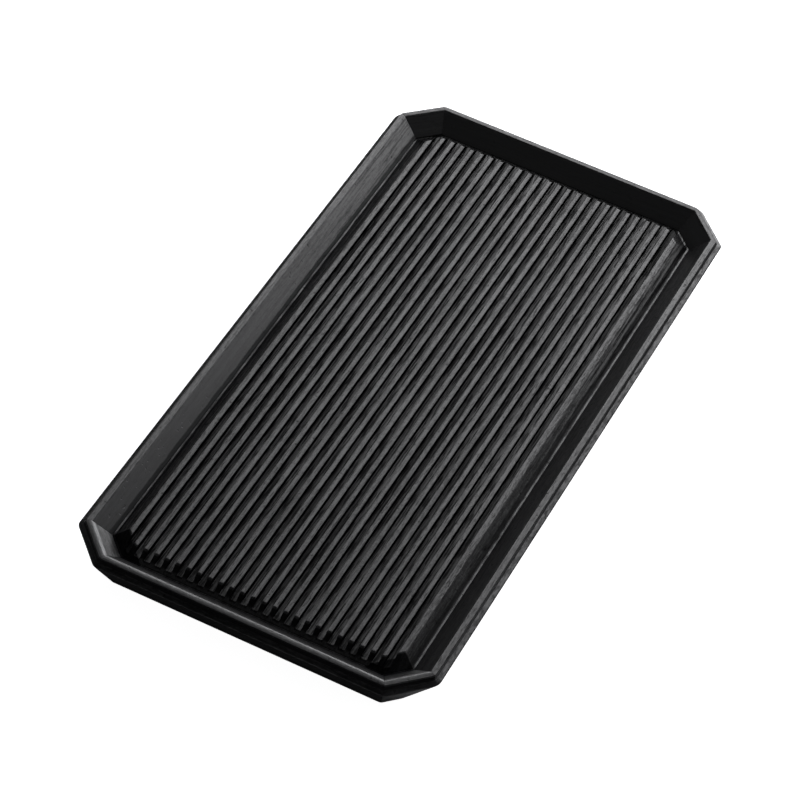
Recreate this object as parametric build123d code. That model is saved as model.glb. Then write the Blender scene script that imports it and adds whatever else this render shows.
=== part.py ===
from build123d import *
import math
import os

# Tea tray: an octagonal mitred frame around a floating ribbed board.
# x is the short way, y the long way, z up. z = 0 is the underside of the foot pads,
# and the origin is the middle of the footprint. Millimetres.

# ---- overall ----
OVERALL_LENGTH = 400.0      # along y, over the ledge
OVERALL_WIDTH = 200.0       # along x, over the ledge
OVERALL_HEIGHT = 25.0       # underside of the pads to the rim

# ---- frame section, measured inwards from the rim's outer edge ----
LEDGE_OUT = 3.15            # the ledge stands out this far beyond the rim
RIM_FLAT = 3.0              # width of the flat rim
RIM_ROUND = 0.35            # rounding of the rim's outer edge
RIM_INNER_ROUND = 1.2       # rounding of the rim's inner edge
STEP_OUT = 0.7              # foot of the step below the rim's outer edge
STEP_TOP = 1.0              # depth where the step begins to lean out
STEP_DEPTH = 2.5            # depth of the step's foot
LEDGE_FALL = 28.0           # slope of the ledge, degrees below level
LEDGE_ROUND = 0.8           # rounding of the ledge's outer edge
WALL_IN = 8.3               # how far in the foot of the end and corner walls stands
LONG_WALL_IN = 13.4         # the same on the long sides, which lean in further for the fingers
SLOPE_FOOT = 12.75          # foot of the sloping inner wall
LIP_TOP = 9.0               # depth of the upper corner of the lip at that foot
LIP_BOTTOM = 10.3           # depth of the lip's underside, where the board's tongue goes in
GROOVE_BACK = 9.2           # back of the groove that holds the board
BOARD_UNDER = 14.6          # depth of the board's underside
SHELF_EDGE = 26.0           # inner edge of the shelf under the board
PAD_STAND = 1.0             # how far the pads stand below the frame
CORNER_LEG = 18.55          # leg of the 45 degree corner at the rim's outer edge
# rounding of the frame's eight outer corners, eased by hand, so each differs a little.
# In order: left near, near left, near right, right near, right far, far right, far left, left far.
RIM_CORNERS = (3.5, 4.0, 4.0, 4.0, 2.6, 5.0, 4.0, 4.0)
LEDGE_CORNERS = (4.5, 6.5, 6.0, 8.0, 3.0, 7.5, 6.5, 8.5)
FOOT_CORNERS = (3.0,) * 8
FOOT_ROUND = 0.5            # eased bottom edge of the wall

# ---- ribbed board ----
BOARD_GAP = 0.5             # room for the board to swell in its groove
MOAT_DEPTH = 9.25           # depth of the moat floor
MOAT_FLAT = 1.15            # flat strip at the bottom of the moat, from the foot of the inner wall
FIELD_GAP = 0.25            # gap between the lip and the board's raised field
PLATFORM_HALF_X = 76.7      # top edge of the platform
PLATFORM_HALF_Y = 176.5
PLATFORM_LEG = 7.6          # corner cut of the platform's top
RIB_TOP = 4.25              # depth of the rib tops below the rim
PLATFORM_ROUND = 1.8        # rounding of the platform's top edge
GROOVE_COUNT = 25
GROOVE_PITCH = 6.0
GROOVE_WIDTH = 3.5
GROOVE_DEPTH = 3.35
GROOVE_EASE = 0.25          # eased top edges of the ribs
GROOVE_FILLET = 0.35        # rounded bottom corners of the grooves

# ---- joinery ----
SPLINE_LENGTH = 6.5         # across the mitre
SPLINE_WIDTH = 7.5          # from outside to inside
SPLINE_THICK = 2.5
SPLINE_CENTRE_IN = 17.9     # middle of the spline, in from the rim's outer edge
SPLINE_DEPTH = 19.6         # middle of the spline below the rim
SPLINE_GAP = 0.05
BATTEN_Y = 96.0
BATTEN_WIDTH = 16.0
BATTEN_DROP = 6.0           # batten below the board
DOVETAIL_DEPTH = 3.0
DOVETAIL_NECK = 10.0
DOVETAIL_HEAD = 12.4
BATTEN_TENON = 4.0          # batten end housed in the long rail
JOINT_GAP = 0.05

# ---- pads ----
PAD_RADIUS = 4.5
PAD_THICK = 2.2
PAD_IN = 19.6               # in from the rim's outer edge
PAD_Y = 158.0
PAD_EDGE = 0.5

Z_RIM = OVERALL_HEIGHT
Z_BASE = PAD_STAND
HALF_X = OVERALL_WIDTH / 2 - LEDGE_OUT      # rim's outer edge
HALF_Y = OVERALL_LENGTH / 2 - LEDGE_OUT
K45 = 2 - math.sqrt(2)                      # how fast the corner leg shrinks with an inward offset

os.makedirs("parts", exist_ok=True)


def z(depth):
    return Z_RIM - depth


def octagon(half_x, half_y, leg):
    return [
        (-half_x, -half_y + leg), (-half_x + leg, -half_y), (half_x - leg, -half_y), (half_x, -half_y + leg),
        (half_x, half_y - leg), (half_x - leg, half_y), (-half_x + leg, half_y), (-half_x, half_y - leg),
    ]


def offset_octagon(off):
    return octagon(HALF_X - off, HALF_Y - off, CORNER_LEG - K45 * off)


def face_at(points, height):
    return Face(Wire([Edge.make_line((*a, height), (*b, height)) for a, b in zip(points, points[1:] + points[:1])]))


def frustum(lower, z_low, upper, z_high):
    """Solid between two octagons with parallel sides, every face flat."""
    faces = [face_at(lower, z_low), face_at(upper, z_high)]
    n = len(lower)
    for i in range(n):
        j = (i + 1) % n
        a, b, c, d = (*lower[i], z_low), (*lower[j], z_low), (*upper[j], z_high), (*upper[i], z_high)
        faces.append(Face(Wire([Edge.make_line(a, b), Edge.make_line(b, c), Edge.make_line(c, d), Edge.make_line(d, a)])))
    s = Solid(Shell(faces))
    return s if s.volume > 0 else Solid(Shell([f for f in faces]))


def outline(off, long_off, radii, height):
    """Closed wire at the given height: the rim's outer octagon moved in by off, and by long_off
    on the two long sides, with its corners rounded."""
    x, y = HALF_X - long_off, HALF_Y - off
    total = HALF_X + HALF_Y - CORNER_LEG - off * math.sqrt(2)
    u, v = total - y, total - x
    pts = [(-x, -v), (-u, -y), (u, -y), (x, -v), (x, v), (u, y), (-u, y), (-x, v)]
    ends = []
    for i in range(8):
        before, here, after = Vector(*pts[i - 1]), Vector(*pts[i]), Vector(*pts[(i + 1) % 8])
        to_a, to_b = (before - here).normalized(), (after - here).normalized()
        middle = (to_a + to_b).normalized()
        cut = radii[i] * math.tan(math.radians(22.5))
        reach = radii[i] / math.cos(math.radians(22.5)) - radii[i]
        ends.append((here + to_a * cut, here + middle * reach, here + to_b * cut))
    up = Vector(0, 0, height)
    edges = []
    for i in range(8):
        a, m, b = ends[i]
        edges.append(Edge.make_three_point_arc(a + up, m + up, b + up))
        edges.append(Edge.make_line(b + up, ends[(i + 1) % 8][0] + up))
    return Wire(edges)


def slice_between(lower, upper):
    """Ruled solid between two outlines."""
    return Solid.make_loft([outline(*lower), outline(*upper)], ruled=True)


def ledge_corner(wall_in, depth=None):
    """Where the ledge's slope and the wall would meet unrounded, so that the rounded edge stands
    LEDGE_OUT beyond the rim. The depth follows from LEDGE_FALL unless it is given."""
    out, given = LEDGE_OUT, depth
    for _ in range(60):
        depth = given or STEP_DEPTH + (out - STEP_OUT) * math.tan(math.radians(LEDGE_FALL))
        fall = math.atan2(depth - STEP_DEPTH, out - STEP_OUT)
        wall = math.atan2(z(depth) - Z_BASE, out + wall_in)
        n1 = (-math.sin(wall), -math.cos(wall))
        n2 = (-math.sin(fall), math.cos(fall))
        shift = -(n1[0] + n2[0]) / (1 + n1[0] * n2[0] + n1[1] * n2[1])
        out = LEDGE_OUT + (shift - 1) * LEDGE_ROUND
    return out, depth


def make_frame():
    """The whole octagonal frame in one piece, before it is divided at its mitres."""
    out, depth = ledge_corner(WALL_IN)
    long_out, depth = ledge_corner(LONG_WALL_IN, depth)
    foot = (WALL_IN, LONG_WALL_IN, FOOT_CORNERS, Z_BASE)
    edge = (-out, -long_out, LEDGE_CORNERS, z(depth))
    step_foot = (-STEP_OUT, -STEP_OUT, [r + STEP_OUT for r in RIM_CORNERS], z(STEP_DEPTH))
    step_top = (0, 0, RIM_CORNERS, z(STEP_TOP))
    body = slice_between(foot, edge) + slice_between(edge, step_foot) + slice_between(step_foot, step_top)
    body = body + Solid.extrude(Face(outline(*step_top)), Vector(0, 0, STEP_TOP))

    def loop(height):
        return [e for e in body.edges() if abs(e.bounding_box().min.Z - height) < 1e-4 and abs(e.bounding_box().max.Z - height) < 1e-4]

    body = fillet(loop(z(depth)), LEDGE_ROUND)
    body = fillet(loop(Z_RIM), RIM_ROUND)
    body = fillet(loop(Z_BASE), FOOT_ROUND)
    # inside: slope, lip, groove and shelf, all with sharp mitres
    k = (SLOPE_FOOT - RIM_FLAT) / LIP_TOP
    slope = frustum(offset_octagon(SLOPE_FOOT), z(LIP_TOP), offset_octagon(RIM_FLAT - 2 * k), z(-2))
    body = body - slope
    body = body - Solid.extrude(face_at(offset_octagon(SLOPE_FOOT), z(LIP_BOTTOM) - 1), Vector(0, 0, LIP_BOTTOM - LIP_TOP + 1))
    body = body - Solid.extrude(face_at(offset_octagon(GROOVE_BACK), z(BOARD_UNDER)), Vector(0, 0, BOARD_UNDER - LIP_BOTTOM))
    body = body - Solid.extrude(face_at(offset_octagon(SHELF_EDGE), -1), Vector(0, 0, z(BOARD_UNDER) + 2))
    inner = [e for e in body.edges() if abs(e.bounding_box().min.Z - Z_RIM) < 1e-4 and abs(e.bounding_box().max.Z - Z_RIM) < 1e-4
             and e.length > 5 and inside_rim(e)]
    return fillet(inner, RIM_INNER_ROUND)


def inside_rim(edge):
    """Is this edge on the rim's inner outline?"""
    p = edge @ 0.5
    d = min(HALF_X - abs(p.X), HALF_Y - abs(p.Y), (HALF_X + HALF_Y - CORNER_LEG - abs(p.X) - abs(p.Y)) / math.sqrt(2))
    return abs(d - RIM_FLAT) < 0.05


def side_frame(a, b):
    """Middle, length and directions of the rim's outer edge from vertex a to vertex b, counter-clockwise."""
    ax, ay = a
    bx, by = b
    length = math.hypot(bx - ax, by - ay)
    along = ((bx - ax) / length, (by - ay) / length)
    inward = (-along[1], along[0])
    return ((ax + bx) / 2, (ay + by) / 2), length, along, inward


def mitre_wedge(i):
    """Block that holds the rail between octagon vertices i and i+1, bounded by its two mitres."""
    pts = offset_octagon(0)
    mid, length, along, inward = side_frame(pts[i], pts[(i + 1) % 8])
    t = math.tan(math.radians(22.5))
    far_out = 12.0
    reach = min(60.0, (length / 2) / t - 0.01)

    def corner(side, off):
        s = side * (length / 2 - off * t)
        return Vector(mid[0] + along[0] * s + inward[0] * off, mid[1] + along[1] * s + inward[1] * off, -5)

    quad = [corner(-1, -far_out), corner(1, -far_out), corner(1, reach), corner(-1, reach)]
    return Solid.extrude(Face(Wire.make_polygon(quad, close=True)), Vector(0, 0, 60))


RAIL_NAMES = {
    7: "left_rail", 1: "near_rail", 3: "right_rail", 5: "far_rail",
    0: "near_left_corner_rail", 2: "near_right_corner_rail", 4: "far_right_corner_rail", 6: "far_left_corner_rail",
}


def spline_box(vertex, gap):
    """Loose spline across the mitre at an octagon vertex: flat, square to the mitre."""
    outer = offset_octagon(0)[vertex]
    inner = offset_octagon(SHELF_EDGE)[vertex]
    dx, dy = inner[0] - outer[0], inner[1] - outer[1]
    n = math.hypot(dx, dy)
    dx, dy = dx / n, dy / n
    reach = SPLINE_CENTRE_IN / math.cos(math.radians(22.5))
    c = (outer[0] + dx * reach, outer[1] + dy * reach, z(SPLINE_DEPTH))
    pl = Plane(origin=c, x_dir=(dx, dy, 0), z_dir=(0, 0, 1))
    return pl * Box(SPLINE_WIDTH + 2 * gap, SPLINE_LENGTH + 2 * gap, SPLINE_THICK + 2 * gap)


def batten(y, gap):
    """Cross batten at y: a plain bar housed in the long rails, and on top of it a sliding dovetail let into the board.
    With a gap it is the space cut for it, and the dovetail then runs right across the board."""
    half = HALF_X - SHELF_EDGE + BATTEN_TENON - (0 if gap else 0.3)
    top = z(BOARD_UNDER)
    bar = Pos(0, y, top - BATTEN_DROP / 2 - gap / 2) * Box(2 * half, BATTEN_WIDTH + 2 * gap, BATTEN_DROP + gap)
    reach = half + (40 if gap else 0)
    neck, head = DOVETAIL_NECK / 2 + gap, DOVETAIL_HEAD / 2 + gap
    tail_points = [(-neck, top - (1 if gap else 0)), (neck, top - (1 if gap else 0)), (neck, top),
                   (head, top + DOVETAIL_DEPTH + gap), (-head, top + DOVETAIL_DEPTH + gap), (-neck, top)]
    if not gap:
        tail_points = [tail_points[0], tail_points[1], tail_points[3], tail_points[4]]
    tail = Solid.extrude(Face(Wire.make_polygon([Vector(-reach, y + u, v) for u, v in tail_points], close=True)), Vector(2 * reach, 0, 0))
    return bar, tail


def pad(x, y, gap):
    c = Pos(x, y, PAD_THICK / 2 + gap / 2) * Cylinder(PAD_RADIUS + gap, PAD_THICK + gap)
    if not gap:
        c = chamfer(c.edges().filter_by(GeomType.CIRCLE).sort_by(Axis.Z)[0], PAD_EDGE)
    return c


PAD_X = HALF_X - PAD_IN
PADS = {
    "near_left_foot_pad": (-PAD_X, -PAD_Y), "near_right_foot_pad": (PAD_X, -PAD_Y),
    "far_left_foot_pad": (-PAD_X, PAD_Y), "far_right_foot_pad": (PAD_X, PAD_Y),
}
SPLINE_NAMES = {
    0: "left_near_mitre_spline", 1: "near_left_mitre_spline", 2: "near_right_mitre_spline", 3: "right_near_mitre_spline",
    4: "right_far_mitre_spline", 5: "far_right_mitre_spline", 6: "far_left_mitre_spline", 7: "left_far_mitre_spline",
}
BATTENS = {"near_batten": -BATTEN_Y, "far_batten": BATTEN_Y}

# ---- frame rails ----
frame = make_frame()
rails = {}
for index, name in RAIL_NAMES.items():
    body = frame & mitre_wedge(index)
    for vertex in (index, (index + 1) % 8):
        body = body - spline_box(vertex, SPLINE_GAP)
    if name in ("left_rail", "right_rail"):
        for y in BATTENS.values():
            body = body - batten(y, JOINT_GAP)[0]
        for x, y in PADS.values():
            if (x < 0) == (name == "left_rail"):
                body = body - pad(x, y, 0.04)
    rails[name] = body

# ---- ribbed board ----
foot_off = SLOPE_FOOT + MOAT_FLAT
foot_oct = offset_octagon(foot_off)
tongue = offset_octagon(GROOVE_BACK + BOARD_GAP)
clear = 0.02
slab = Solid.extrude(face_at(tongue, z(BOARD_UNDER) + clear), Vector(0, 0, BOARD_UNDER - LIP_BOTTOM - 2 * clear))
# the field rises inside the lip to the moat floor, and the platform stands on it
field_low = z(LIP_BOTTOM) - clear
field = Solid.extrude(face_at(offset_octagon(SLOPE_FOOT + FIELD_GAP), field_low), Vector(0, 0, z(MOAT_DEPTH) - field_low))
platform = frustum(foot_oct, z(MOAT_DEPTH), octagon(PLATFORM_HALF_X, PLATFORM_HALF_Y, PLATFORM_LEG), z(RIB_TOP))
platform = fillet(platform.faces().sort_by(Axis.Z)[-1].edges(), PLATFORM_ROUND)
board = slab + field + platform
e, f, w = GROOVE_EASE, GROOVE_FILLET, GROOVE_WIDTH / 2
top, floor = z(RIB_TOP), z(RIB_TOP + GROOVE_DEPTH)
s45 = math.sqrt(0.5)
cutters = []
for k in range(GROOVE_COUNT):
    x = (k - (GROOVE_COUNT - 1) / 2) * GROOVE_PITCH
    y0 = -HALF_Y
    P = lambda a, b: Vector(x + a, y0, b)
    wire = Wire([
        Edge.make_line(P(-w - e - 1, top + 1), P(-w, top - e)),
        Edge.make_line(P(-w, top - e), P(-w, floor + f)),
        Edge.make_three_point_arc(P(-w, floor + f), P(-w + f * (1 - s45), floor + f * (1 - s45)), P(-w + f, floor)),
        Edge.make_line(P(-w + f, floor), P(w - f, floor)),
        Edge.make_three_point_arc(P(w - f, floor), P(w - f * (1 - s45), floor + f * (1 - s45)), P(w, floor + f)),
        Edge.make_line(P(w, floor + f), P(w, top - e)),
        Edge.make_line(P(w, top - e), P(w + e + 1, top + 1)),
        Edge.make_line(P(w + e + 1, top + 1), P(-w - e - 1, top + 1)),
    ])
    cutters.append(Solid.extrude(Face(wire), Vector(0, 2 * HALF_Y, 0)))
board = board - cutters
for y in BATTENS.values():
    board = board - batten(y, JOINT_GAP)[1]

# ---- write every piece ----
pieces = dict(rails)
pieces["ribbed_board"] = board
for vertex, name in SPLINE_NAMES.items():
    pieces[name] = spline_box(vertex, 0)
for name, y in BATTENS.items():
    bar, tail = batten(y, 0)
    pieces[name] = bar + tail
for name, (x, y) in PADS.items():
    pieces[name] = pad(x, y, 0)
for name, shape in pieces.items():
    solids = shape.solids()
    out = solids[0] if len(solids) == 1 else Compound(children=list(solids))
    export_step(out, f"parts/{name}.step")
    print(name, len(solids), round(sum(q.volume for q in solids), 1), [round(v, 2) for v in (*shape.bounding_box().min, *shape.bounding_box().max)])
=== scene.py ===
import math

import bpy
from mathutils import Matrix, Quaternion, Vector

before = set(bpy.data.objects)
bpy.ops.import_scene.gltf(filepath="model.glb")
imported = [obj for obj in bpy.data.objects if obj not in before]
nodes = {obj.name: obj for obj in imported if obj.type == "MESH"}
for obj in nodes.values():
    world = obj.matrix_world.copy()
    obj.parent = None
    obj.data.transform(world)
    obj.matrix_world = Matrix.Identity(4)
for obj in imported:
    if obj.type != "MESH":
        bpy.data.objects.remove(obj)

scene = bpy.context.scene


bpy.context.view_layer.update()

# ---------------------------------------------------------------- camera
CAM_LOC = Vector((0.43604929, -1.20249360, 1.32594463))
CAM_QUAT = Quaternion((0.8985630387, 0.3727998450, 0.0389823292, 0.2282216444))
F_PX = 3497.03                     # focal length in pixels of the 800 px wide frame

cam_data = bpy.data.cameras.new("camera")
cam_data.sensor_fit = "HORIZONTAL"
cam_data.sensor_width = 36.0
cam_data.lens = F_PX * 36.0 / 800.0
cam_data.clip_start, cam_data.clip_end = 0.05, 60.0
cam_data.dof.use_dof = False
camera = bpy.data.objects.new("camera", cam_data)
scene.collection.objects.link(camera)
rot = CAM_QUAT.to_matrix()
# the frame's middle lies half a pixel left of and above the fitted middle
right, up, back = (rot @ Vector(v) for v in ((1, 0, 0), (0, 1, 0), (0, 0, 1)))
back = (back + right * (0.5 / F_PX) - up * (0.5 / F_PX)).normalized()
right = up.cross(back).normalized()
up = back.cross(right).normalized()
camera.matrix_world = Matrix.Translation(CAM_LOC) @ Matrix((right, up, back)).transposed().to_4x4()
scene.camera = camera


# ---------------------------------------------------------------- node helpers
class Tree:
    """Small helper around a node tree."""

    def __init__(self, tree):
        self.t = tree
        tree.nodes.clear()

    def new(self, kind, **values):
        n = self.t.nodes.new(kind)
        for k, v in values.items():
            setattr(n, k, v)
        return n

    def link(self, a, b):
        self.t.links.new(a, b)

    def put(self, socket, value):
        if isinstance(value, bpy.types.NodeSocket):
            self.link(value, socket)
        else:
            socket.default_value = value

    def math(self, op, a, b=None, c=None, clamp=False):
        n = self.new("ShaderNodeMath", operation=op, use_clamp=clamp)
        for i, v in enumerate((a, b, c)):
            if v is not None:
                self.put(n.inputs[i], v)
        return n.outputs[0]

    def vmath(self, op, a, b=None, scale=None):
        n = self.new("ShaderNodeVectorMath", operation=op)
        self.put(n.inputs[0], a)
        if b is not None:
            self.put(n.inputs[1], b)
        if scale is not None:
            self.put(n.inputs["Scale"], scale)
        return n.outputs["Value"] if op in ("DOT_PRODUCT", "LENGTH", "DISTANCE") else n.outputs["Vector"]

    def noise(self, vector, scale=1.0, detail=2.0, rough=0.5, distortion=0.0):
        n = self.new("ShaderNodeTexNoise", noise_dimensions="3D")
        self.put(n.inputs["Vector"], vector)
        self.put(n.inputs["Scale"], scale)
        self.put(n.inputs["Detail"], detail)
        self.put(n.inputs["Roughness"], rough)
        self.put(n.inputs["Distortion"], distortion)
        return n.outputs[0]

    def ramp(self, value, lo, hi, out_lo=0.0, out_hi=1.0, smooth=True):
        n = self.new("ShaderNodeMapRange", clamp=True, interpolation_type="SMOOTHSTEP" if smooth else "LINEAR")
        self.put(n.inputs["Value"], value)
        n.inputs["From Min"].default_value = lo
        n.inputs["From Max"].default_value = hi
        n.inputs["To Min"].default_value = out_lo
        n.inputs["To Max"].default_value = out_hi
        return n.outputs[0]

    def mix(self, factor, a, b):
        n = self.new("ShaderNodeMix", data_type="RGBA")
        self.put(n.inputs[0], factor)
        self.put(n.inputs[6], a)
        self.put(n.inputs[7], b)
        return n.outputs[2]

    def mixf(self, factor, a, b):
        n = self.new("ShaderNodeMix", data_type="FLOAT")
        self.put(n.inputs[0], factor)
        self.put(n.inputs[2], a)
        self.put(n.inputs[3], b)
        return n.outputs[0]


def material(name):
    m = bpy.data.materials.new(name)
    m.use_nodes = True
    return m, Tree(m.node_tree)


def grain_space(t, angle, shift):
    """Object coordinates in metres, turned so that the second one runs along the grain."""
    coord = t.new("ShaderNodeTexCoord").outputs["Object"]
    m = t.new("ShaderNodeMapping", vector_type="POINT")
    t.link(coord, m.inputs["Vector"])
    m.inputs["Rotation"].default_value = (0, 0, -angle)
    m.inputs["Location"].default_value = shift
    return m.outputs["Vector"]


def stretched(t, p, across, along):
    """Noise space: `across` and `along` are feature sizes in metres."""
    return t.vmath("MULTIPLY", p, (1 / across, 1 / along, 1 / across))


def black_wood(name, angle=0.0, shift=(0, 0, 0), pith=(0.0, -0.12), lacquer=0.33, tone=1.0, relief=1.0, wear_and_shade=None, board=False):
    """Black-stained wood under thin satin lacquer: growth rings, fibres and pores that run through the piece.
    The lacquer is a coat over dull wood; it is thin in the pores and where it is rubbed, and it is turned down as
    painted shade in the board's grooves and on the rails' shaded faces."""
    m, t = material(name)
    coord = t.new("ShaderNodeTexCoord").outputs["Object"]
    p = grain_space(t, angle, shift)
    place = t.new("ShaderNodeSeparateXYZ")
    t.link(coord, place.inputs[0])
    # growth rings about a pith far below, wandering slowly along the grain
    wander = t.noise(stretched(t, p, 0.030, 0.40), detail=2.0)
    sep = t.new("ShaderNodeSeparateXYZ")
    t.link(p, sep.inputs[0])
    x = t.math("SUBTRACT", sep.outputs[0], pith[0])
    z = t.math("SUBTRACT", sep.outputs[2], pith[1])
    r = t.math("SQRT", t.math("ADD", t.math("MULTIPLY", x, x), t.math("MULTIPLY", z, z)))
    r = t.math("ADD", r, t.math("MULTIPLY", wander, 0.016))
    ring = t.math("FRACT", t.math("MULTIPLY", r, 1 / 0.0026))
    late = t.ramp(ring, 0.45, 0.95)                        # dense late wood near each ring's end
    late = t.math("MULTIPLY", late, t.ramp(ring, 1.0, 0.96))
    # fibres: long streaks of three widths
    broad = t.noise(stretched(t, p, 0.0042, 0.16), detail=2.0, rough=0.55)
    streak = t.noise(stretched(t, p, 0.0011, 0.045), detail=3.0, rough=0.6)
    fibre = t.noise(stretched(t, p, 0.00028, 0.011), detail=2.0, rough=0.6)
    # pores: short dark dashes
    pore = t.noise(stretched(t, p, 0.00042, 0.0052), detail=1.0, rough=0.4)
    pore = t.ramp(pore, 0.60, 0.70)
    pore = t.math("MULTIPLY", pore, t.ramp(ring, 0.85, 0.15, 0.15, 1.0))
    # a few small pits
    pit = t.noise(t.vmath("SCALE", p, scale=1 / 0.0021), detail=0.0)
    pit = t.ramp(pit, 0.765, 0.81)
    # patches of short marks across the grain
    flecks = t.noise(stretched(t, p, 0.0045, 0.0012), detail=2.0, rough=0.7)
    patch = t.ramp(t.noise(stretched(t, p, 0.020, 0.055), detail=2.0), 0.56, 0.70)
    flecks = t.math("MULTIPLY", t.math("SUBTRACT", flecks, 0.5), patch)
    # colour: nearly black, a little cool
    shade = t.math("ADD", t.math("MULTIPLY", t.ramp(streak, 0.30, 0.72), 0.6), t.math("MULTIPLY", t.ramp(broad, 0.3, 0.7), 0.4))
    colour = t.mix(shade, (0.0012 * tone, 0.0012 * tone, 0.0014 * tone, 1), (0.0062 * tone, 0.0063 * tone, 0.0068 * tone, 1))
    colour = t.mix(t.math("MULTIPLY", pore, 0.8), colour, (0.0006, 0.0006, 0.0007, 1))
    # lacquer: 1 where it is whole
    coat = t.ramp(streak, 0.26, 0.62, 0.70, 1.0)
    coat = t.math("MULTIPLY", coat, t.ramp(broad, 0.30, 0.62, 0.84, 1.06))
    coat = t.math("SUBTRACT", coat, t.math("MULTIPLY", late, 0.10))
    cloud = t.noise(stretched(t, p, 0.0010, 0.0046), detail=2.0, rough=0.6)
    coat = t.math("MULTIPLY", coat, t.ramp(cloud, 0.34, 0.60, 0.76, 1.08))
    grit = t.noise(stretched(t, p, 0.0008, 0.0013), detail=2.0, rough=0.7)
    coat = t.math("MULTIPLY", coat, t.ramp(grit, 0.34, 0.62, 0.84, 1.10))
    if board:
        dust = t.noise(stretched(t, p, 0.00055, 0.0008), detail=1.0, rough=0.6)
        coat = t.math("MULTIPLY", coat, t.ramp(dust, 0.36, 0.64, 0.84, 1.14))
    coat = t.math("MULTIPLY", coat, t.math("SUBTRACT", 1.0, t.math("MULTIPLY", pore, 0.62)))
    coat = t.math("MULTIPLY", coat, t.math("SUBTRACT", 1.0, t.math("MULTIPLY", pit, 0.55)))
    coat = t.math("ADD", coat, t.math("MULTIPLY", flecks, 1.1))
    rough_coat = lacquer
    # relief, in metres
    h = t.math("MULTIPLY", t.math("SUBTRACT", broad, 0.5), 45e-6 * relief)
    h = t.math("ADD", h, t.math("MULTIPLY", t.math("SUBTRACT", streak, 0.5), 18e-6 * relief))
    h = t.math("ADD", h, t.math("MULTIPLY", t.math("SUBTRACT", fibre, 0.5), 5e-6 * relief))
    h = t.math("SUBTRACT", h, t.math("MULTIPLY", pore, 9e-6 * relief))
    h = t.math("SUBTRACT", h, t.math("MULTIPLY", pit, 40e-6))
    if board:
        coat, h, colour = board_surface(t, place, coat, h, colour, streak)
    elif wear_and_shade:
        coat, h = rail_surface(t, place, p, coat, h, wear_and_shade)
    coat = t.math("MINIMUM", t.math("MAXIMUM", coat, 0.0), 1.0)
    bump = t.new("ShaderNodeBump")
    bump.inputs["Strength"].default_value = 1.0
    bump.inputs["Distance"].default_value = 1.0
    t.link(h, bump.inputs["Height"])
    b = t.new("ShaderNodeBsdfPrincipled")
    t.link(colour, b.inputs["Base Color"])
    t.link(t.math("ADD", 0.55, t.math("MULTIPLY", streak, 0.30)), b.inputs["Roughness"])
    t.link(bump.outputs[0], b.inputs["Normal"])
    t.link(bump.outputs[0], b.inputs["Coat Normal"])
    t.link(coat, b.inputs["Coat Weight"])
    b.inputs["Coat Roughness"].default_value = rough_coat
    b.inputs["Coat IOR"].default_value = 1.5
    b.inputs["Specular IOR Level"].default_value = 0.0 if board else 0.04
    b.inputs["IOR"].default_value = 1.5
    out = t.new("ShaderNodeOutputMaterial")
    t.link(b.outputs[0], out.inputs[0])
    return m


RIM_X, RIM_Y, RIM_LEG = 0.09685, 0.19685, 0.01855      # the rim's outer octagon


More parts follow.
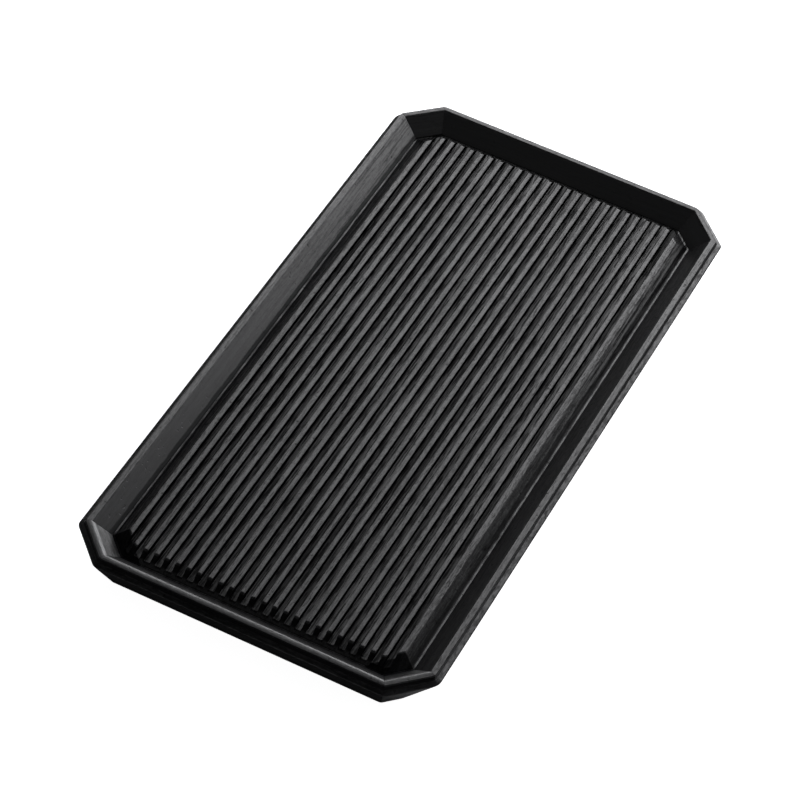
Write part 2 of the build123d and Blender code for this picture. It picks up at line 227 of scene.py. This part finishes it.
def rail_surface(t, place, p, coat, h, wear_and_shade):
    """Where a rail's lacquer is turned down: rubbed in mottles on the ledge, and as painted shade on the step under the
    rim, the side below the ledge, the rim's outer half, the inner wall and the foot of the inner wall, and broken by a
    hairline of glue at each mitre. The last argument gives this rail's own amounts of wear and of painted shade."""
    x, y, z = place.outputs
    ax, ay = t.math("ABSOLUTE", x), t.math("ABSOLUTE", y)
    dx = t.math("SUBTRACT", RIM_X, ax)
    dy = t.math("SUBTRACT", RIM_Y, ay)
    dc = t.math("MULTIPLY", t.math("SUBTRACT", RIM_X + RIM_Y - RIM_LEG, t.math("ADD", ax, ay)), math.sqrt(0.5))
    inset = t.math("MINIMUM", t.math("MINIMUM", dx, dy), dc)

    def less(factor, amount):
        return t.math("SUBTRACT", 1.0, t.math("MULTIPLY", factor, amount))

    # ledge: rubbed a little unevenly
    ledge = t.math("MULTIPLY", t.ramp(z, 0.02275, 0.0224), t.ramp(inset, -0.0002, -0.0007))
    mottle = t.noise(stretched(t, p, 0.0018, 0.0060), detail=3.0, rough=0.75)
    coat = t.math("MULTIPLY", coat, less(t.math("MULTIPLY", ledge, t.ramp(mottle, 0.44, 0.58)), wear_and_shade.get("ledge", 0.5)))
    # painted shade: the step under the rim is dulled to stand for the dark shadow line there, and the side below the
    # ledge is dulled so that it reflects as darkly as the shaded floor
    step = t.math("MULTIPLY", t.math("MULTIPLY", t.ramp(z, 0.02242, 0.02256), t.ramp(z, 0.02412, 0.02396)), t.ramp(inset, 0.0004, 0.0001))
    coat = t.math("MULTIPLY", coat, less(step, t.ramp(y, *wear_and_shade["step"]) if isinstance(wear_and_shade.get("step"), tuple) else wear_and_shade.get("step", 0.5)))
    side = t.ramp(z, 0.0212, 0.0206)
    outside = t.math("MULTIPLY", side, t.ramp(t.math("ADD", inset, t.math("MULTIPLY", z, 0.70)), 0.0180, 0.0170))
    coat = t.mixf(t.math("MULTIPLY", outside, 0.85), coat, 0.80)
    coat = t.math("MULTIPLY", coat, less(outside, wear_and_shade.get("side", 0.45)))
    # painted shade: the outer half of the rim is dulled to stand for the shade on its rounded outer edge
    if "rim_out" in wear_and_shade:
        outer = t.math("MULTIPLY", t.ramp(z, 0.0236, 0.0240), t.ramp(inset, 0.0022, 0.0010))
        coat = t.math("MULTIPLY", coat, less(outer, wear_and_shade["rim_out"]))
    # the rim's outer edge, duller towards one end
    if "rim_edge" in wear_and_shade:
        brink = t.math("MULTIPLY", t.ramp(z, 0.0236, 0.0240), t.ramp(inset, 0.0012, 0.0005))
        coat = t.math("MULTIPLY", coat, less(brink, t.ramp(y, *wear_and_shade["rim_edge"])))
    # the rim's inner edge, eased further by hand, and outer faces that were sanded smoother
    h = t.mixf(t.math("MULTIPLY", outside, wear_and_shade.get("smooth", 0.0)), h, 0.0)
    eased = t.math("MULTIPLY", t.ramp(inset, 0.0034, 0.0046, 0.0, 0.0012, smooth=False), wear_and_shade.get("bead", 0.0))
    h = t.math("ADD", h, eased)
    # inner wall as a whole, its lacquer turned down as painted shade on the walls that lie in shade, then a band of
    # painted shade at its foot with an uneven upper edge
    wall_at = wear_and_shade.get("wall_at", 0.0036)
    wall = t.math("MULTIPLY", t.ramp(inset, wall_at, wall_at + 0.0008), less(outside, 1.0))
    calm = t.ramp(y, *wear_and_shade["calm"]) if isinstance(wear_and_shade["calm"], tuple) else wear_and_shade["calm"]
    coat = t.mixf(t.math("MULTIPLY", wall, calm), coat, 0.84)
    coat = t.math("MULTIPLY", coat, less(wall, wear_and_shade.get("wall", 0.0)))
    ragged = t.noise(stretched(t, p, 0.0030, 0.012), detail=3.0, rough=0.65)
    edge = t.math("ADD", inset, t.math("MULTIPLY", t.math("SUBTRACT", ragged, 0.5), 0.0014))
    foot = t.math("MULTIPLY", t.ramp(edge, wear_and_shade.get("foot_at", 0.0108), wear_and_shade.get("foot_at", 0.0108) + 0.0006), t.ramp(z, 0.0150, 0.0156))
    coat = t.math("MULTIPLY", coat, less(foot, wear_and_shade.get("foot", 0.5)))
    # bolder streaks towards one end
    if "streaks" in wear_and_shade:
        bold = t.noise(stretched(t, p, 0.0012, 0.050), detail=3.0, rough=0.62)
        where = t.math("MULTIPLY", wall, t.ramp(y, *wear_and_shade["streaks"]))
        coat = t.math("MULTIPLY", coat, t.mixf(where, 1.0, t.ramp(bold, 0.38, 0.56, 0.60, 1.20)))
        # and a line of painted shade just inside the rim there
        inner = t.math("MULTIPLY", t.math("MULTIPLY", t.ramp(inset, 0.0032, 0.0035), t.ramp(inset, 0.0042, 0.0039)), t.ramp(y, *wear_and_shade["streaks"]))
        coat = t.math("MULTIPLY", coat, less(inner, 0.36))
    # hairline at the mitres
    gap = t.math("MINIMUM", t.math("ABSOLUTE", t.math("SUBTRACT", dx, dc)), t.math("ABSOLUTE", t.math("SUBTRACT", dy, dc)))
    line = t.math("MULTIPLY", t.ramp(gap, 0.00019, 0.00007), t.ramp(inset, -0.0002, 0.0004))
    line = t.math("MULTIPLY", line, t.ramp(t.noise(t.vmath("SCALE", p, scale=1 / 0.005), detail=2.0), 0.35, 0.6, 0.35, 1.0))
    line = t.math("MULTIPLY", line, wear_and_shade.get("line", 1.0))
    coat = t.math("MULTIPLY", coat, less(line, 0.75))
    h = t.math("SUBTRACT", h, t.math("MULTIPLY", line, 25e-6))
    return coat, h


def board_surface(t, place, coat, h, colour, streak):
    """What the ribbed board has besides its grain: grooves dulled as painted shade, each a little different, with
    cutter marks; plane streaks on the shoulders; painted shade on the moat ends, the shoulder's foot, the near rib ends
    and the left slope.
    """
    x, y, z = place.outputs
    pitch = 0.006
    k = t.math("FLOOR", t.math("ADD", t.math("DIVIDE", x, pitch), 0.5))          # number of the groove
    u = t.math("SUBTRACT", x, t.math("MULTIPLY", k, pitch))                       # across it
    # depth below the rib tops, from 0 there to 1 on the groove's wall and floor
    low = t.ramp(z, 0.02072, 0.02045)
    flat = t.math("MULTIPLY", t.ramp(t.math("ABSOLUTE", x), 0.0748, 0.0738), t.ramp(t.math("ABSOLUTE", y), 0.1820, 0.1812))
    inside = t.math("MULTIPLY", t.math("MULTIPLY", low, flat), t.ramp(z, 0.0163, 0.0168))
    upper = t.ramp(z, 0.0150, 0.0154)                      # the board's seen face, not its underside
    groove = t.math("MULTIPLY", inside, t.ramp(t.math("ABSOLUTE", u), 0.00181, 0.00177))
    # one random value for each groove, and slow changes along it
    seat = t.new("ShaderNodeCombineXYZ")
    t.link(t.math("MULTIPLY", k, 7.31), seat.inputs[0])
    t.link(t.math("MULTIPLY", y, 9.0), seat.inputs[1])
    own = t.noise(seat.outputs[0], detail=2.0)
    sliver_at = t.new("ShaderNodeCombineXYZ")
    t.link(t.math("MULTIPLY", x, 1 / 0.0007), sliver_at.inputs[0])
    t.link(t.math("MULTIPLY", y, 1 / 0.013), sliver_at.inputs[1])
    t.link(t.math("MULTIPLY", k, 3.7), sliver_at.inputs[2])
    sliver = t.ramp(t.noise(sliver_at.outputs[0], detail=2.0, rough=0.6), 0.47, 0.58)
    cut = t.noise(t.vmath("MULTIPLY", sliver_at.outputs[0], (3.0, 30.0, 1.0)), detail=2.0)
    # painted shade: the groove floors' lacquer is cut to about half to stand for the shade inside the grooves; it
    # varies per groove and with cutter marks, and is lower still in the outermost grooves
    floor_coat = t.math("MULTIPLY", t.ramp(own, 0.30, 0.70, 0.28, 0.72), t.ramp(sliver, 0.0, 1.0, 1.0, 0.26, smooth=False))
    floor_coat = t.math("MULTIPLY", floor_coat, t.ramp(cut, 0.35, 0.65, 0.75, 1.1))
    floor_coat = t.math("MULTIPLY", floor_coat, t.math("MULTIPLY", t.ramp(x, 0.0685, 0.0692, 1.0, 0.56), t.ramp(x, -0.0685, -0.0692, 1.0, 0.80)))
    coat = t.mixf(groove, coat, floor_coat)
    # painted shade: the walls of the grooves have no lacquer, and groove walls and floors are darkened in colour, as
    # the shadow inside each groove
    wall = t.math("MULTIPLY", groove, t.ramp(t.math("ABSOLUTE", u), 0.00160, 0.00170))
    coat = t.math("MULTIPLY", coat, t.math("SUBTRACT", 1.0, wall))
    colour = t.mix(t.math("MULTIPLY", groove, 0.75), colour, (0.0010, 0.0010, 0.0011, 1))
    # the platform's long shoulders: streaks left by the plane, and a ragged edge at the top
    ax = t.math("ABSOLUTE", x)
    long_at = t.new("ShaderNodeCombineXYZ")
    t.link(t.math("MULTIPLY", x, 1 / 0.0030), long_at.inputs[0])
    t.link(t.math("MULTIPLY", y, 1 / 0.080), long_at.inputs[1])
    sway = t.math("MULTIPLY", t.math("SUBTRACT", t.noise(long_at.outputs[0], detail=3.0), 0.5), 0.0010)
    xs = t.math("ADD", x, sway)
    light = t.math("MULTIPLY", t.ramp(xs, 0.0792, 0.0797), t.ramp(xs, 0.0807, 0.0802))
    right = t.math("MULTIPLY", t.math("MULTIPLY", t.ramp(xs, 0.0770, 0.0776), t.ramp(x, 0.0826, 0.0822)), upper)
    fine = t.noise(t.vmath("MULTIPLY", long_at.outputs[0], (3.6, 3.2, 1.0)), detail=3.0, rough=0.7)
    light = t.math("MAXIMUM", light, t.math("MULTIPLY", t.math("MULTIPLY", t.ramp(xs, 0.0774, 0.0778), t.ramp(xs, 0.0785, 0.0781)), 0.7))
    planed = t.mixf(light, t.ramp(fine, 0.44, 0.55, 0.10, 0.62), t.ramp(fine, 0.42, 0.55, 0.75, 1.55))
    planed = t.mixf(t.ramp(y, -0.05, 0.09), t.ramp(fine, 0.40, 0.60, 0.44, 0.66), planed)
    coat = t.math("MULTIPLY", coat, t.mixf(right, 1.0, planed))
    # painted shade along the foot of the right shoulder and the moat floor beside it
    dull = t.math("MULTIPLY", t.ramp(x, 0.0804, 0.0809), t.ramp(x, 0.0827, 0.0824))
    coat = t.math("MULTIPLY", coat, t.math("SUBTRACT", 1.0, t.math("MULTIPLY", dull, 0.50)))
    # the moat floor's lacquer varies in patches beside the long rails and the far right corner; it is turned down as
    # painted shade along the near side, along the far side and at the far left corner
    moat = t.math("MULTIPLY", t.ramp(z, 0.01605, 0.01585), upper)
    patchy = t.noise(t.vmath("MULTIPLY", long_at.outputs[0], (1.0, 5.0, 1.0)), detail=3.0, rough=0.6)
    moat_gloss_and_shade = t.ramp(patchy, 0.38, 0.56, 0.55, 1.15)
    moat_gloss_and_shade = t.math("MULTIPLY", moat_gloss_and_shade, t.ramp(y, -0.1730, -0.1690, 0.10, 1.0))
    far_side = t.math("MULTIPLY", t.ramp(y, 0.1790, 0.1798), t.ramp(x, 0.0740, 0.0725))
    moat_gloss_and_shade = t.math("MULTIPLY", moat_gloss_and_shade, t.math("SUBTRACT", 1.0, t.math("MULTIPLY", far_side, 0.93)))
    far_left = t.math("MULTIPLY", t.ramp(t.math("SUBTRACT", y, x), 0.2546, 0.2554), t.ramp(x, 0.0, -0.01))
    moat_gloss_and_shade = t.math("MULTIPLY", moat_gloss_and_shade, t.math("SUBTRACT", 1.0, t.math("MULTIPLY", far_left, 0.85)))
    coat = t.math("MULTIPLY", coat, t.mixf(moat, 1.0, moat_gloss_and_shade))
    # painted shade: the sloping ends of the ribs at the near side, and the platform's near corner facets, have their
    # lacquer turned down to stand for the shade on these faces
    ends = t.ramp(y, -0.1768, -0.1776)
    cut_in = t.math("DIVIDE", t.math("SUBTRACT", t.math("SUBTRACT", ax, y), 0.2456), 1.98)
    side_in = t.math("DIVIDE", t.math("SUBTRACT", ax, 0.0767), 1.27)
    facet = t.math("MULTIPLY", t.ramp(t.math("SUBTRACT", cut_in, side_in), -0.0001, 0.0002), t.ramp(cut_in, 0.0, 0.0002))
    facet = t.math("MULTIPLY", t.math("MULTIPLY", facet, t.ramp(z, 0.0206, 0.0203)), upper)
    ends = t.math("MAXIMUM", t.math("MULTIPLY", ends, t.ramp(z, 0.0170, 0.0182)), facet)
    coat = t.math("MULTIPLY", coat, t.math("SUBTRACT", 1.0, t.math("MULTIPLY", ends, t.ramp(x, 0.0745, 0.0800, 0.88, 0.45))))
    # painted shade: the platform's left slope, which faces away from the light, has its lacquer turned down in streaks
    left = t.math("MULTIPLY", t.ramp(x, -0.0772, -0.0778), upper)
    coat = t.math("MULTIPLY", coat, t.mixf(left, 1.0, t.ramp(fine, 0.42, 0.58, 0.40, 0.85)))
    arris = t.math("MULTIPLY", t.ramp(ax, 0.0752, 0.0759), t.ramp(ax, 0.0776, 0.0770))
    ragged = t.noise(t.vmath("MULTIPLY", long_at.outputs[0], (4.0, 16.0, 1.0)), detail=3.0, rough=0.7)
    coat = t.math("MULTIPLY", coat, t.mixf(arris, 1.0, t.ramp(ragged, 0.42, 0.56, 0.55, 1.0)))
    h = t.math("ADD", h, t.math("MULTIPLY", t.math("MULTIPLY", cut, groove), 14e-6))
    h = t.math("SUBTRACT", h, t.math("MULTIPLY", t.math("MULTIPLY", sliver, groove), 30e-6))
    return coat, h, colour


def bare_wood(name, angle=0.0, shift=(0, 0, 0), light=(0.48, 0.31, 0.17), dark=(0.30, 0.17, 0.085)):
    """Unfinished hardwood for the glued-in splines."""
    m, t = material(name)
    p = grain_space(t, angle, shift)
    streak = t.noise(stretched(t, p, 0.0009, 0.02), detail=3.0, rough=0.6)
    fibre = t.noise(stretched(t, p, 0.0002, 0.006), detail=2.0)
    colour = t.mix(t.ramp(streak, 0.3, 0.7), (*dark, 1), (*light, 1))
    b = t.new("ShaderNodeBsdfPrincipled")
    t.link(colour, b.inputs["Base Color"])
    t.link(t.math("ADD", 0.55, t.math("MULTIPLY", fibre, 0.25)), b.inputs["Roughness"])
    bump = t.new("ShaderNodeBump")
    bump.inputs["Distance"].default_value = 1.0
    t.link(t.math("ADD", t.math("MULTIPLY", streak, 20e-6), t.math("MULTIPLY", fibre, 12e-6)), bump.inputs["Height"])
    t.link(bump.outputs[0], b.inputs["Normal"])
    out = t.new("ShaderNodeOutputMaterial")
    t.link(b.outputs[0], out.inputs[0])
    return m


def rubber(name):
    """Matte moulded rubber with a fine spark-eroded texture and a little dust."""
    m, t = material(name)
    coord = t.new("ShaderNodeTexCoord").outputs["Object"]
    fine = t.noise(t.vmath("SCALE", coord, scale=1.0 / 0.00025), detail=3.0, rough=0.6)
    dust = t.noise(t.vmath("SCALE", coord, scale=1.0 / 0.0016), detail=4.0, rough=0.65)
    colour = t.mix(t.ramp(dust, 0.42, 0.75, 0.0, 0.6), (0.018, 0.018, 0.019, 1), (0.075, 0.073, 0.070, 1))
    b = t.new("ShaderNodeBsdfPrincipled")
    t.link(colour, b.inputs["Base Color"])
    t.link(t.math("ADD", 0.62, t.math("MULTIPLY", fine, 0.25)), b.inputs["Roughness"])
    bump = t.new("ShaderNodeBump")
    bump.inputs["Distance"].default_value = 1.0
    t.link(t.math("MULTIPLY", fine, 12e-6), bump.inputs["Height"])
    t.link(bump.outputs[0], b.inputs["Normal"])
    out = t.new("ShaderNodeOutputMaterial")
    t.link(b.outputs[0], out.inputs[0])
    return m


def dress(node, mat):
    ob = nodes[node]
    ob.data.materials.clear()
    ob.data.materials.append(mat)


# ---------------------------------------------------------------- materials on the CAD pieces
# angle turns the grain from +Y (along the long rails) to each rail's own direction
RAILS = {
    "left_rail": (0.0, (0.31, 0.17, 0.02)),
    "right_rail": (0.0, (1.43, -0.35, 0.05)),
    "near_rail": (math.radians(90), (2.21, 0.71, -0.03)),
    "far_rail": (math.radians(90), (3.67, -0.57, 0.04)),
    "near_left_corner_rail": (math.radians(45), (4.11, 0.23, 0.01)),
    "far_right_corner_rail": (math.radians(45), (5.37, -0.19, 0.06)),
    "near_right_corner_rail": (math.radians(-45), (6.29, 0.41, -0.05)),
    "far_left_corner_rail": (math.radians(-45), (7.83, -0.67, 0.03)),
}
# per rail: amounts of rubbed wear and of painted shade (step, side, rim_out, wall, foot), by place on the rail
WEAR_AND_SHADE = {
    "left_rail": {"calm": (-0.06, 0.12, 0.80, 0.15), "foot": 0.70, "foot_at": 0.0109, "streaks": (0.0, 0.16), "step": 0.0, "rim_edge": (-0.13, 0.09, 0.62, 0.0)},
    "right_rail": {"calm": 0.30, "wall": 0.38, "foot": 0.25, "ledge": 0.55, "step": (-0.15, 0.12, 0.40, 0.78)},
    "near_rail": {"calm": 0.5, "rim_out": 0.74, "wall": 0.66, "wall_at": 0.0043, "bead": 0.42, "smooth": 0.85, "side": 0.85, "foot": 0.6, "foot_at": 0.0080, "step": 0.97},
    "far_rail": {"calm": 0.92, "foot": 0.0, "line": 0.0},
    "far_left_corner_rail": {"calm": 0.7, "foot": 0.85, "foot_at": 0.0121},
    "far_right_corner_rail": {"calm": 0.92, "foot": 0.0, "line": 0.0},
    "near_left_corner_rail": {"calm": 0.2, "rim_out": 0.66, "bead": 0.32, "smooth": 0.85, "foot": 0.45, "ledge": 0.2, "side": 0.0, "step": 0.97},
    "near_right_corner_rail": {"calm": 0.3, "rim_out": 0.40, "bead": 0.32, "smooth": 0.6, "foot": 0.4, "ledge": 0.2, "side": 0.3, "step": 0.9},
}
for name, (angle, shift) in RAILS.items():
    dress(name, black_wood("stained_" + name, angle, shift, pith=(shift[0] + 0.02, -0.09), wear_and_shade=WEAR_AND_SHADE[name]))
dress("ribbed_board", black_wood("stained_board", 0.0, (0.0, 0.0, 0.0), pith=(0.035, -0.16), board=True))
for i, y in enumerate(("near_batten", "far_batten")):
    dress(y, black_wood("stained_" + y, math.radians(90), (8.1 + i, 0.3 * i, 0.0), pith=(8.1 + i, -0.07), lacquer=0.6))
for i, name in enumerate(n for n in sorted(nodes) if n.endswith("mitre_spline")):
    dress(name, bare_wood("bare_" + name, math.radians(20 * i), (0.7 * i, 0.2, 0.1 * i)))
for name in nodes:
    if name.endswith("foot_pad"):
        dress(name, rubber("rubber_" + name))

# ---------------------------------------------------------------- floor
bpy.ops.mesh.primitive_plane_add(size=30.0, location=(0, 0, -0.0002))
floor = bpy.context.object
floor.name = "floor"
fm, ft = material("floor_paper")
fc = ft.new("ShaderNodeTexCoord").outputs["Object"]
fn = ft.noise(ft.vmath("SCALE", fc, scale=2.0), detail=4.0)
fb = ft.new("ShaderNodeBsdfDiffuse")
ft.link(ft.mix(fn, (0.80, 0.80, 0.80, 1), (0.83, 0.83, 0.83, 1)), fb.inputs["Color"])
glow = ft.new("ShaderNodeEmission")
glow.inputs["Color"].default_value = (1.0, 1.0, 1.0, 1)
ft.link(ft.math("MULTIPLY", ft.new("ShaderNodeLightPath").outputs["Is Camera Ray"], 0.95), glow.inputs["Strength"])
both = ft.new("ShaderNodeAddShader")
ft.link(fb.outputs[0], both.inputs[0])
ft.link(glow.outputs[0], both.inputs[1])
fo = ft.new("ShaderNodeOutputMaterial")
ft.link(both.outputs[0], fo.inputs[0])
floor.data.materials.append(fm)


# ---------------------------------------------------------------- light
def softbox(name, azimuth, elevation, distance, width, height, radiance, target=(0, 0, 0.02)):
    """Rectangular area light of the given radiance, aimed at the tray. Azimuth 0 stands on the far side (+Y), positive to the right."""
    az, el = math.radians(azimuth), math.radians(elevation)
    d = Vector((math.sin(az) * math.cos(el), math.cos(az) * math.cos(el), math.sin(el)))
    data = bpy.data.lights.new(name, "AREA")
    data.shape = "RECTANGLE"
    data.size, data.size_y = width, height
    data.energy = radiance * math.pi * width * height
    data.color = (0.98, 0.98, 1.0)
    ob = bpy.data.objects.new(name, data)
    ob.location = Vector(target) + d * distance
    ob.rotation_euler = d.to_track_quat("Z", "Y").to_euler()
    ob.visible_camera = False
    scene.collection.objects.link(ob)
    return ob


def key_layer(name, az_low, az_high, el_high, distance, radiance):
    """Layer of the key light, from just over the floor to el_high at its middle."""
    el = (el_high + 1.0) / 2
    width = 2 * distance * math.cos(math.radians(el)) * math.tan(math.radians((az_high - az_low) / 2))
    height = 2 * distance * math.tan(math.radians((el_high - 1.0) / 2))
    softbox(name, (az_low + az_high) / 2, el, distance, width, height, radiance)


# one wide softbox low on the far side, in three layers that make its edges soft:
# its upper edge shows in the flat tops, its right edge in the left slope
key_layer("key_inner", -28.0, 33.2, 46.0, 2.0, 1.75)
key_layer("key_middle", -34.0, 39.7, 52.2, 2.1, 1.75)
key_layer("key_outer", -40.0, 46.2, 58.4, 2.2, 1.75)
softbox("right_fill", 107.0, 48.0, 2.0, 0.8, 0.8, 0.25)
softbox("near_fill", -159.0, 51.0, 2.2, 1.0, 1.0, 0.135)
softbox("back_fill", 180.0, 22.0, 2.4, 1.8, 0.55, 0.90)
softbox("right_low_fill", 96.0, 15.0, 2.4, 1.7, 0.50, 0.60)
softbox("left_low_fill", -96.0, 9.0, 2.4, 1.7, 0.45, 0.50)
softbox("left_fill", -91.0, 27.0, 2.2, 0.9, 0.7, 0.10)

world = bpy.data.worlds.new("studio")
scene.world = world
world.use_nodes = True
wt = Tree(world.node_tree)
lit = wt.new("ShaderNodeBackground")
lit.inputs["Color"].default_value = (0.95, 0.97, 1.0, 1)
lit.inputs["Strength"].default_value = 0.04
seen = wt.new("ShaderNodeBackground")
seen.inputs["Color"].default_value = (0.93, 0.93, 0.93, 1)
seen.inputs["Strength"].default_value = 1.0
path = wt.new("ShaderNodeLightPath")
mixer = wt.new("ShaderNodeMixShader")
wt.link(path.outputs["Is Camera Ray"], mixer.inputs[0])
wt.link(lit.outputs[0], mixer.inputs[1])
wt.link(seen.outputs[0], mixer.inputs[2])
wo = wt.new("ShaderNodeOutputWorld")
wt.link(mixer.outputs[0], wo.inputs[0])

scene.view_settings.view_transform = "Standard"
scene.view_settings.look = "None"
scene.view_settings.exposure = 0.0
scene.view_settings.gamma = 1.0
